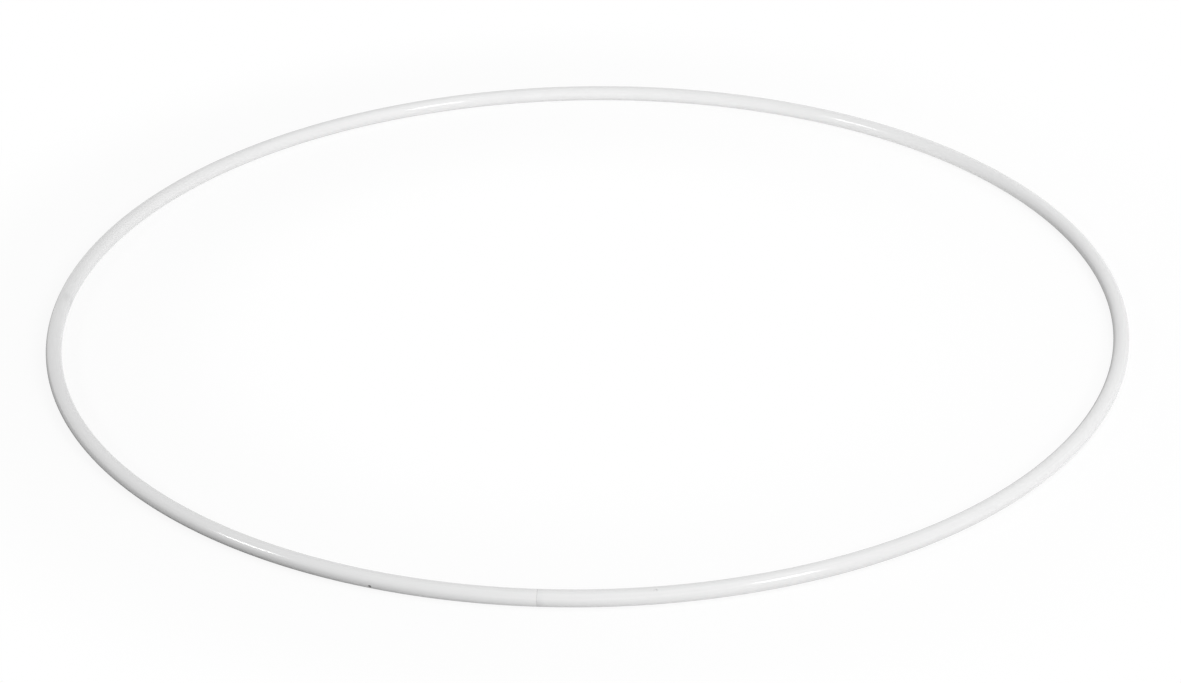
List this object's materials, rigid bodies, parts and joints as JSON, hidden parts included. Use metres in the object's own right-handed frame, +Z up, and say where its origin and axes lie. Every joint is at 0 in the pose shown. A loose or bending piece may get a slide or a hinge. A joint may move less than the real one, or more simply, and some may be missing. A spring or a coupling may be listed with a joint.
{
  "type": "rhythmic gymnastics hoop",
  "caption": "Plain round gymnastics hoop: a white plastic tube bent to a circle, its ends joined at one seam over an inner plug with sunk pins.",
  "frame": {"origin": "centre of the hoop, on the surface it lies on", "axes": "+Z up, square to the hoop's plane; -Y through the seam; +X to the right of someone facing the seam from outside"},
  "size_m": [0.9, 0.8999, 0.013],
  "materials": {
    "white_tube": "half-gloss white extruded tube",
    "plug_plastic": "plain grey-white moulded plug",
    "pin_steel": "zinc-plated steel pin"
  },
  "bodies": {
    "root": {"hoop_tube": "white_tube", "joint_plug": "plug_plastic", "left_pin": "pin_steel", "right_pin": "pin_steel"}
  },
  "joints": []
}
